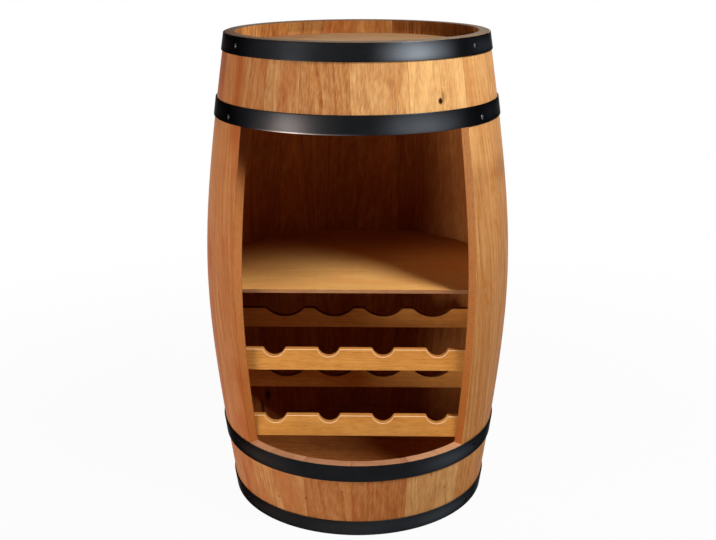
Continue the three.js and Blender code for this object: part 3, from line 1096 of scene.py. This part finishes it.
@dataclass
class HoopSet(Assembly):
    """Four black steel hoops, each one strip lapped and riveted at the back and held by four nails.

    A level is a hoop's name, its lower and upper edge and how far off its middle the nails are.
    """

    levels: tuple[tuple[str, float, float, float], ...] = (
        ("top", 771 * MM, 799 * MM, 0.0),
        ("upper", 665 * MM, 694.5 * MM, -4.5 * MM),
        ("lower", 104.2 * MM, 133.7 * MM, 4.5 * MM),
        ("bottom", 1 * MM, 27.4 * MM, 0.0),
    )
    thickness: float = 2 * MM
    offset: float = 0.3 * MM
    edge_radius: float = 0.6 * MM
    face_shares: tuple[float, ...] = (0.09, 0.25, 0.42, 0.6, 0.78, 0.91)
    lap: float = 22 * MM
    lap_gap: float = 0.05 * MM
    joggle: float = 9 * MM
    steps: tuple[int, int, int] = (176, 6, 6)
    rivet_offset: float = 11 * MM
    rivet: Pair = (4 * MM, 2 * MM)
    nail: Pair = (4.2 * MM, 1.9 * MM)
    nail_seat: float = 0.1 * MM
    nail_shank: Pair = (1.3 * MM, 15 * MM)
    nail_taper: float = 4 * MM
    nail_glint: float = 0.16
    rivet_glint: float = 0.05
    # Painted highlights and reflections of the lamps; the one with its peak at nought is a bright line along
    # the upper hoop's lower edge.
    painted_sheens: tuple[PaintedSheen, ...] = (
        PaintedSheen("top", 26.0, 21.0, 0.64, 0.30),
        PaintedSheen("top", 74.0, 26.0, 0.40, 0.40),
        PaintedSheen("top", -76.0, 20.0, 0.35, 0.40),
        PaintedSheen("upper", -24.0, 24.0, 0.11, 0.18),
        PaintedSheen("upper", 27.0, 22.0, 0.28, 0.22),
        PaintedSheen("upper", 76.0, 24.0, 0.30, 0.40),
        PaintedSheen("upper", -76.0, 20.0, 0.30, 0.40),
        PaintedSheen("upper", -19.0, 26.0, 0.8, 0.0),
        PaintedSheen("lower", -52.0, 34.0, 0.20, 0.45),
        PaintedSheen("lower", 54.0, 36.0, 0.26, 0.45),
        PaintedSheen("bottom", 0.0, 60.0, 0.045, 0.50),
        PaintedSheen("bottom", -60.0, 40.0, 0.20, 0.50),
        PaintedSheen("bottom", 60.0, 44.0, 0.28, 0.50),
    )
    nail_angles: tuple[tuple[str, float], ...] = (
        ("front_left", -56.5), ("front_right", 56.5), ("back_left", -125.0), ("back_right", 125.0),
    )  # fmt: skip

    def _section(self, low: float, high: float, angle: float, lift: float) -> list[Vector]:
        """Draw the strip's outline at one angle.

        Args:
            low: The band's lower edge.
            high: Its upper edge.
            angle: Degrees from the front.
            lift: How far the strip stands off its first turn.

        Returns:
            The points of the closed outline.
        """
        r = self.edge_radius
        back, face = self.offset + lift, self.offset + lift + self.thickness
        corners = ((face - r, low + r), (face - r, high - r), (back + r, high - r), (back + r, low + r))
        outline = []
        for (x, z), start in zip(corners, (-90, 0, 90, 180)):
            for turn in (0, 30, 60, 90):
                a = math.radians(start + turn)
                outline.append((x + r * math.cos(a), z + r * math.sin(a)))
            if start == -90:
                outline += [(face, low + (high - low) * share) for share in self.face_shares]
        centre = (low + high) / 2
        radius, slope = self.form.outer(centre), math.tan(self.form.lean(centre))
        return [self.form.point(radius + slope * (z - centre) + x, angle, z) for x, z in outline]

    def _strip(self, name: str, low: float, high: float) -> list[bpy.types.Object]:
        """Build one hoop with the rivets of its lap.

        Args:
            name: The hoop's place.
            low: Its lower edge.
            high: Its upper edge.

        Returns:
            The hoop and its rivets.
        """
        radius = self.form.outer((low + high) / 2)
        half, rise = math.degrees(self.lap / radius), math.degrees(self.joggle / radius)
        start = 180 - half
        climb, over = start + 360 - rise, start + 360
        once, step, lap = self.steps
        angles = spread(start, climb, once) + spread(climb, over, step)[1:]
        angles += spread(over, over + 2 * half, lap)[1:]
        piece = Piece(f"hoop_{name}_dressed")
        rows = []
        for angle in angles:
            share = min(1.0, max(0.0, (angle - climb) / rise))
            lift = (self.thickness + self.lap_gap) * share * share * (3 - 2 * share)
            rows.append(piece.loop(self._section(low, high, angle, lift)))
        piece.wrap(rows)

        def edge(point: Vector) -> float:
            """Give a point's distance from the strap's nearer edge."""
            return max(0.0, min(point.z - low, high - point.z))

        def wear_shade_and_sheen(point: Vector) -> float:
            """Add up the painted highlights at a point."""
            angle, height = self.form.angle(point), (point.z - low) / (high - low)
            return sum((rub_and_sheen.share(angle, height) for rub_and_sheen in self.painted_sheens if rub_and_sheen.hoop == name), 0.0)

        node = f"hoop_{name}"
        made = [piece.finish([self.shop.hoop], "black_steel", [node], None, edge, wear_shade_and_sheen=wear_shade_and_sheen, crease=50)]
        for i, offset in enumerate((-self.rivet_offset, self.rivet_offset)):
            seat = self._seat(180 + math.degrees(offset / radius), (low + high) / 2, 2 * self.thickness)
            made.append(self._stud(f"{node}_rivet_{i + 1}", seat, self.rivet, None, [], self.rivet_glint))
        return made

    def _seat(self, angle: float, z: float, lift: float) -> Matrix:
        """Place a stud: upright on the wall's slope, so far off the back of the hoop.

        Args:
            angle: Degrees from the front.
            z: Height.
            lift: How far off the hoop's back it is.

        Returns:
            Its place and direction.
        """
        lean, turn = self.form.lean(z), math.radians(angle)
        out = Vector((math.sin(turn) * math.cos(lean), -math.cos(turn) * math.cos(lean), -math.sin(lean)))
        seat = self.form.point(self.form.outer(z) + (self.offset + lift), angle, z)
        return Matrix.Translation(seat) @ out.to_track_quat("Z", "Y").to_matrix().to_4x4()

    def _stud(
        self,
        name: str,
        seat: Matrix,
        head: Pair,
        shank: Pair | None,
        nodes: Sequence[str],
        glint: float,
    ) -> bpy.types.Object:
        """Build a domed head on a hoop, with its shank if it is a nail.

        Args:
            name: The piece's name.
            seat: Its place and direction.
            head: The head's radius and rise.
            shank: The shank's radius and length, or None.
            nodes: The solids that it stands for.
            glint: How strong the painted highlight on the head is, 0 to 1.

        Returns:
            The piece.
        """
        piece = Piece(name)
        radius, rise = head
        profile = [(radius * 0.96, 0.0), (radius, rise * 0.12), (radius * 0.97, rise * 0.32)]
        profile += [(radius * math.cos(t), rise * (0.22 + 0.78 * math.sin(t))) for t in spread(0.35, 1.45, 6)]
        if shank:
            width, length = shank
            profile = [(width * 0.3, -length), (width, self.nail_taper - length), (width, 0.0)] + profile
        turns = spread(0, math.tau, 24)[:-1]
        rows = []
        for reach, height in profile:
            rows.append(piece.loop(Vector((reach * math.cos(t), reach * math.sin(t), height)) for t in turns))
        piece.wrap(rows)
        bmesh.ops.transform(piece.skin, matrix=seat, verts=piece.skin.verts)

        def edge(point: Vector) -> float:
            """Give how far inside the head's rim a point is."""
            return max(0.0, radius - (point - seat.translation).length)

        def wear_shade_and_sheen(_: Vector) -> float:
            """Give the same glint all over."""
            return glint

        return piece.finish([self.shop.nail], "black_steel", nodes, None, edge, wear_shade_and_sheen=wear_shade_and_sheen, crease=60)

    def build(self) -> list[bpy.types.Object]:
        """Build the hoops with their rivets and nails.

        Returns:
            The pieces.
        """
        made = []
        for name, low, high, shift in self.levels:
            made += self._strip(name, low, high)
            z = (low + high) / 2 + shift
            # Painted highlight: only the nails above the middle get a glint, the lower ones stay dark.
            glint = self.nail_glint if z > self.form.height / 2 else 0.0
            for side, angle in self.nail_angles:
                node = f"nail_{name}_{side}"
                seat = self._seat(angle, z, self.thickness + self.nail_seat)
                made.append(self._stud(node + "_dressed", seat, self.nail, self.nail_shank, [node], glint))
        return made


@dataclass
class BoardWork(Assembly):
    """Work in flat level boards, cut to a round."""

    arc_steps: int = 180
    same: float = 0.01 * MM

    def lay(self, name: str, cut: tuple[float, float, float], bottom: float, top: float) -> Piece:
        """Saw the part of a disc between two straight cuts and lay it level.

        Args:
            name: The piece's name.
            cut: The disc's radius, and how far behind the axis its front and rear cut are.
            bottom: Its lower face.
            top: Its upper face.

        Returns:
            The piece, not yet finished.
        """
        radius, low, high = cut
        low, high = max(low, -radius), min(high, radius)
        start, stop = math.asin(low / radius), math.asin(high / radius)
        count = max(3, round(self.arc_steps * (stop - start) / math.tau))
        right = [(radius * math.cos(t), radius * math.sin(t)) for t in spread(start, stop, count)]
        outline: list[Pair] = []
        for point in right + [(-x, y) for x, y in reversed(right)]:
            if not outline or math.dist(point, outline[-1]) > self.same:
                outline.append(point)
        if math.dist(outline[0], outline[-1]) < self.same:
            outline.pop()
        piece = Piece(name)
        rows = [[Vector((x, y + self.form.axis_y, z)) for x, y in outline] for z in (bottom, top)]
        piece.wrap([piece.loop(row) for row in rows])
        return piece


@dataclass
class HeadSet(BoardWork):
    """The barrel's two heads, three boards each, let into the grooves of the wall."""

    seed: int = 5
    joints: Pair = (-62.73 * MM, 75.31 * MM)
    joint_gap: float = 0.1 * MM
    radius: float = 209.5 * MM
    thickness: float = 15 * MM
    easing: float = 0.5 * MM
    bottoms: tuple[tuple[str, float], ...] = (("top", 761 * MM), ("bottom", 24 * MM))
    looks: tuple[Triple, ...] = ((0.02, 0.0, 0.0), (0.06, 0.0, 0.0), (-0.03, 0.05, 0.0))
    toasted: Pair = (0.05, -0.3)

    def _board(self, node: str, cut: Pair, bottom: float, look: Triple) -> bpy.types.Object:
        """Build one board.

        Args:
            node: The solid that it stands for.
            cut: How far behind the axis its front and rear joint are.
            bottom: Its lower face.
            look: Its tone and its redness.

        Returns:
            The board.
        """
        disc = (self.radius, cut[0] + self.joint_gap, cut[1] - self.joint_gap)
        piece = self.lay(node + "_dressed", disc, bottom, bottom + self.thickness)
        piece.ease(self.easing)
        heart, start = self.chance.uniform(-0.06, 0.06), self.chance.uniform(0, 30)
        axis = self.form.axis_y

        def grain(p: Vector) -> Vector:
            """Give a point's place in the wood."""
            return Vector((p.y - axis - heart, p.x + start, p.z - bottom + 0.05))

        def edge(p: Vector) -> float:
            """Give a point's distance from the nearer joint."""
            return min(abs(p.y - axis - joint) for joint in self.joints)

        if bottom > self.form.height / 2:
            return piece.finish([self.shop.board], "oiled_wood", [node], grain, edge, look)
        tone, red = self.toasted
        look = (look[0] + tone, look[1] + red, 0.0)
        return piece.finish([self.shop.inside], "inner_wood", [node], grain, edge, look)

    def build(self) -> list[bpy.types.Object]:
        """Build both heads.

        Returns:
            Their boards.
        """
        made = []
        cuts = (-1.0, *self.joints, 1.0)
        for place, bottom in self.bottoms:
            for name, cut, look in zip(("front", "middle", "back"), zip(cuts, cuts[1:]), self.looks):
                made.append(self._board(f"head_{place}_{name}", cut, bottom, look))
        return made


@dataclass
class ShelfWork(BoardWork):
    """The round shelf with its straight front edge, on three cleats."""

    top: float = 394.5 * MM
    thickness: float = 6.5 * MM
    front: float = -137.5 * MM
    clearance: float = 0.3 * MM
    easing: float = 0.7 * MM
    cleat_size: Triple = (70 * MM, 16 * MM, 14 * MM)
    cleat_easing: float = 0.6 * MM
    cleats: tuple[tuple[str, float], ...] = (("right", 90.0), ("back", 180.0), ("left", 270.0))

    def _cleat(self, side: str, degrees: float) -> bpy.types.Object:
        """Build one cleat.

        Args:
            side: Which one it is.
            degrees: Where it is, from the front towards the right.

        Returns:
            The cleat.
        """
        length, depth, height = self.cleat_size
        high = self.top - self.thickness - self.clearance
        inner = math.sqrt(self.form.inner(high) ** 2 - (length / 2) ** 2) - depth
        turn = Matrix.Rotation(math.radians(degrees), 4, "Z")
        back = turn.inverted()
        centre = Vector((0, self.form.axis_y, 0))
        node = f"shelf_cleat_{side}"
        piece = Piece(node + "_dressed")
        rows = []
        for z in spread(high - height, high, 2):
            reach = self.form.inner(z) - self.clearance
            outline = [(length / 2, inner), (-length / 2, inner)]
            outline += [(x, math.sqrt(reach**2 - x * x)) for x in spread(-length / 2, length / 2, 8)]
            rows.append(piece.loop(centre + turn @ Vector((x, -y, z)) for x, y in outline))
        piece.wrap(rows)
        piece.ease(self.cleat_easing)

        def grain(p: Vector) -> Vector:
            """Give a point's place in the wood."""
            local = back @ (p - centre)
            return Vector((local.z - high, local.x + degrees, -local.y - inner + 0.04))

        return piece.finish([self.shop.inside], "inner_wood", [node], grain)

    def build(self) -> list[bpy.types.Object]:
        """Build the shelf and its cleats.

        Returns:
            The pieces.
        """
        bottom = self.top - self.thickness
        radius = self.form.inner(bottom) - self.clearance
        piece = self.lay("shelf_dressed", (radius, self.front, radius), bottom, self.top)
        piece.ease(self.easing)
        piece.second(lambda normal: abs(normal.z) <= 0.5)
        axis = self.form.axis_y

        def grain(p: Vector) -> Vector:
            """Give a point's place in the wood."""
            return Vector((p.y - axis + 0.05, p.x + 12.0, p.z - self.top + 0.06))

        made = [piece.finish([self.shop.shelf, self.shop.shelf_edge], "rack_wood", ["shelf"], grain)]
        return made + [self._cleat(side, degrees) for side, degrees in self.cleats]


@dataclass(frozen=True)
class Notch:
    """A bottle's seat in a rail: a circle's radius, how deep it goes and the rounding at its mouth."""

    radius: float
    depth: float
    corner: float


@dataclass
class BottleRack(Assembly):
    """Two tiers of rails: a front one with small seats for the necks, a rear one with wide seats."""

    seed: int = 9
    pitch: float = 89 * MM
    bottles: int = 4
    height: float = 36.5 * MM
    thickness: float = 11.8 * MM
    clearance: float = 0.3 * MM
    easing: float = 1.1 * MM
    tiers: tuple[tuple[str, float], ...] = (("lower", 141 * MM), ("upper", 258 * MM))
    neck: Notch = Notch(18.5 * MM, 13 * MM, 3 * MM)
    body: Notch = Notch(46 * MM, 15.5 * MM, 8 * MM)
    front: float = -145.92 * MM
    back: float = 55 * MM
    neck_looks: tuple[Triple, ...] = ((0.20, -0.1, 0.0), (0.16, -0.1, 0.0))
    body_looks: tuple[Triple, ...] = ((0.34, 0.0, 0.0), (0.24, 0.1, 0.0))
    # Painted highlight: the front rails' eased seat edges are laid paler.
    pale_edge: Pair = (0.05 * MM, 1.0 * MM)
    pale_from: float = 5 * MM
    pale_depth: float = 0.9

    def _seats(self, top: float, notch: Notch) -> list[Pair]:
        """Draw a rail's upper edge from right to left.

        Args:
            top: Its height.
            notch: The seats' size.

        Returns:
            The points, as X and Z.
        """
        rise, corner = notch.radius - notch.depth, notch.corner
        offset = math.sqrt((notch.radius + corner) ** 2 - (rise + corner) ** 2)
        lean = math.atan2(rise + corner, offset)
        shoulder = top - corner
        points = []
        for i in range(self.bottles):
            x = self.pitch * ((self.bottles - 1) / 2 - i)
            for t in spread(math.pi / 2, math.pi - lean, 4)[:-1]:
                points.append((x + offset + corner * math.cos(t), shoulder + corner * math.sin(t)))
            for t in spread(-lean, lean - math.pi, 22):
                points.append((x + notch.radius * math.cos(t), top + rise + notch.radius * math.sin(t)))
            for t in spread(lean, math.pi / 2, 4)[1:]:
                points.append((x - offset + corner * math.cos(t), shoulder + corner * math.sin(t)))
        return points

    def _rail(self, node: str, bottom: float, front: float, notch: Notch, look: Triple) -> bpy.types.Object:
        """Build one rail, its ends scribed to the wall.

        Args:
            node: The solid that it stands for.
            bottom: Its lower edge.
            front: The front face's distance behind the axis.
            notch: The seats' size.
            look: Its tone and its redness.

        Returns:
            The rail.
        """
        piece = Piece(node + "_dressed")
        top, axis = bottom + self.height, self.form.axis_y
        reaches = [(self.form.inner(z) - self.clearance, z) for z in spread(bottom, top, 3)]
        rows = []
        for y in (front, front + self.thickness):
            ends = [(math.sqrt(reach**2 - y * y), z) for reach, z in reaches]
            left = [(-x, z) for x, z in ends]
            outline = left[:1] + ends + self._seats(top, notch) + left[:0:-1]
            rows.append(piece.loop(Vector((x, y + axis, z)) for x, z in outline))
        piece.wrap(rows)
        piece.ease(self.easing, 3)
        # Painted shade: the upward faces of the rear rails' seats take the dark shaded_rail_top finish.
        if notch is self.body:
            piece.second(lambda normal: normal.z > 0.45)
        heart, start = self.chance.uniform(-0.03, 0.05), self.chance.uniform(0, 30)

        def grain(p: Vector) -> Vector:
            """Give a point's place in the wood."""
            return Vector((p.z - bottom - heart, p.x + start, p.y - axis - front + 0.045))

        def wear_shade_and_sheen(p: Vector) -> float:
            """Paint a highlight on the eased front edge of the seats."""
            near, far = self.pale_edge
            return self.pale_depth * (near < p.y - axis - front < far and p.z > bottom + self.pale_from)

        rubbed_and_sheen = wear_shade_and_sheen if notch is self.neck else None
        finishes = [self.shop.rack, self.shop.rail_top]
        return piece.finish(finishes, "rack_wood", [node], grain, None, look, rubbed_and_sheen)

    def build(self) -> list[bpy.types.Object]:
        """Build the rails.

        Returns:
            The four rails.
        """
        made = []
        for (tier, bottom), neck_look, body_look in zip(self.tiers, self.neck_looks, self.body_looks):
            made.append(self._rail(f"rail_front_{tier}", bottom, self.front, self.neck, neck_look))
            made.append(self._rail(f"rail_back_{tier}", bottom, self.back, self.body, body_look))
        return made


@dataclass(frozen=True)
class Lamp:
    """A soft oval lamp: degrees from the front towards the right and above level, metres and watts."""

    name: str
    azimuth: float
    height: float
    reach: float
    size: Pair
    power: float


@dataclass
class Studio:
    """A plain pale floor, soft lamps and the camera; its lengths are in metres, its angles in degrees."""

    form: BarrelForm
    sensor: float = 36.0
    lens: float = 54.61
    shift_y: float = -70 / 716
    clip: Pair = (0.05, 50.0)
    reach: float = 1.8072
    eye: float = 0.95375
    pitch: float = 13.805
    yaw: float = 0.0264
    roll: float = -0.2087
    turn: float = 1.6
    sky: float = 0.045
    aim: float = 0.42
    lamps: tuple[Lamp, ...] = (
        Lamp("key_lamp", 49.0, 43.5, 2.0, (0.62, 0.80), 34.0),
        Lamp("fill_lamp", -50.0, 2.5, 2.5, (1.05, 0.62), 37.0),
        Lamp("rear_lamp", 178.0, 6.0, 3.0, (1.4, 0.9), 42.0),
    )
    floor_size: float = 12.0
    floor_grey: Tint = (0.6, 0.6, 0.6, 1.0)
    floor_fade: tuple[float, float, float, float] = (0.4, 1.8, 0.955, 1.0)

    def _camera(self) -> None:
        """Set up the camera, level on its stand first, then tilted, rolled and walked round the barrel."""
        yaw, pitch, roll = (math.radians(angle) for angle in (self.yaw, self.pitch, self.roll))
        level = Vector((math.sin(yaw), math.cos(yaw), 0))
        ahead = level * math.cos(pitch) - Vector((0, 0, math.sin(pitch)))
        right = Vector((math.cos(yaw), -math.sin(yaw), 0))
        up = right.cross(ahead)
        right, up = right * math.cos(roll) + up * math.sin(roll), up * math.cos(roll) - right * math.sin(roll)
        pose = Matrix((right, up, -ahead)).transposed().to_4x4()
        pose.translation = Vector((0, -self.reach, self.eye))
        spin = Matrix.Rotation(math.radians(self.turn), 4, "Z")
        data = bpy.data.cameras.new("photo_camera")
        data.sensor_width = self.sensor
        data.lens = self.lens
        data.shift_y = self.shift_y
        data.clip_start, data.clip_end = self.clip
        camera = bpy.data.objects.new("photo_camera", data)
        bpy.context.scene.collection.objects.link(camera)
        camera.matrix_world = Matrix.Translation((0, self.form.axis_y, 0)) @ spin @ pose
        bpy.context.scene.camera = camera

    def _hang(self, lamp: Lamp) -> None:
        """Hang a lamp so that it looks at the middle of the barrel.

        Args:
            lamp: The lamp.
        """
        data = bpy.data.lights.new(lamp.name, "AREA")
        data.shape = "ELLIPSE"
        data.size, data.size_y = lamp.size
        data.energy = lamp.power
        hung = bpy.data.objects.new(lamp.name, data)
        turn, rise = math.radians(lamp.azimuth), math.radians(lamp.height)
        away = Vector((math.sin(turn) * math.cos(rise), -math.cos(turn) * math.cos(rise), math.sin(rise)))
        hung.location = Vector((0, self.form.axis_y, self.aim)) + away * lamp.reach
        hung.rotation_euler = away.to_track_quat("Z", "Y").to_euler()
        bpy.context.scene.collection.objects.link(hung)

    @staticmethod
    def _looking(pen: Pen) -> Wire:
        """Find the rays that look at the surroundings rather than gather their light.

        Args:
            pen: The pen of the material or the world.

        Returns:
            One for those rays, nought for the others.
        """
        rays = pen.node("ShaderNodeLightPath").outputs
        kinds = ("Camera", "Glossy", "Transmission")
        camera, glossy, clear = (Wire(pen, rays[f"Is {kind} Ray"]) for kind in kinds)
        return camera.greater(glossy).greater(clear)

    def _world(self) -> None:
        """Light the scene evenly from all round, white where it is looked at."""
        world = bpy.data.worlds.new("studio_world")
        bpy.context.scene.world = world
        pen = Pen(world)
        strength = self._looking(pen) * (1 - self.sky) + self.sky
        sky = pen.node("ShaderNodeBackground", None, {"Color": WHITE, "Strength": strength})
        pen.node("ShaderNodeOutputWorld", None, {"Surface": sky.outputs[0]})

    def _floor(self) -> None:
        """Lay the pale floor, which shows only a faint shadow."""
        skin = bmesh.new()
        bmesh.ops.create_grid(skin, x_segments=8, y_segments=8, size=self.floor_size)
        mesh = bpy.data.meshes.new("studio_floor")
        skin.to_mesh(mesh)
        skin.free()
        pen = Pen(bpy.data.materials.new("studio_floor_white"))
        matt = pen.node("ShaderNodeBsdfDiffuse", None, {"Color": self.floor_grey})
        glow = pen.node("ShaderNodeEmission", None, {"Color": WHITE, "Strength": 1.0})
        away = pen.vector("LENGTH", pen.place(), output=1)
        share = self._looking(pen) * away.ramp(*self.floor_fade)
        mixed = pen.node("ShaderNodeMixShader", None, {0: share, 1: matt.outputs[0], 2: glow.outputs[0]})
        pen.node("ShaderNodeOutputMaterial", None, {"Surface": mixed.outputs[0]})
        mesh.materials.append(pen.owner)
        floor = bpy.data.objects.new("studio_floor", mesh)
        bpy.context.scene.collection.objects.link(floor)

    def build(self) -> None:
        """Set the whole scene."""
        bpy.context.scene.view_settings.view_transform = "Standard"
        self._camera()
        for lamp in self.lamps:
            self._hang(lamp)
        self._world()
        self._floor()


def main() -> None:
    """Build the cabinet in its studio and log each piece and its point count."""
    logging.basicConfig(level=logging.INFO, format="%(name)s: %(message)s")
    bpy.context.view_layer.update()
    form, shop = BarrelForm(), Shop()
    for assembly in (StaveWall, HoopSet, HeadSet, ShelfWork, BottleRack):
        for piece in assembly(form, shop).build():
            log.info("%s: %s, %d points", assembly.__name__, piece.name, len(piece.data.vertices))
    studio = Studio(form)
    studio.build()
    log.info("studio with %d lamps", len(studio.lamps))


if __name__ == "__main__":
    main()
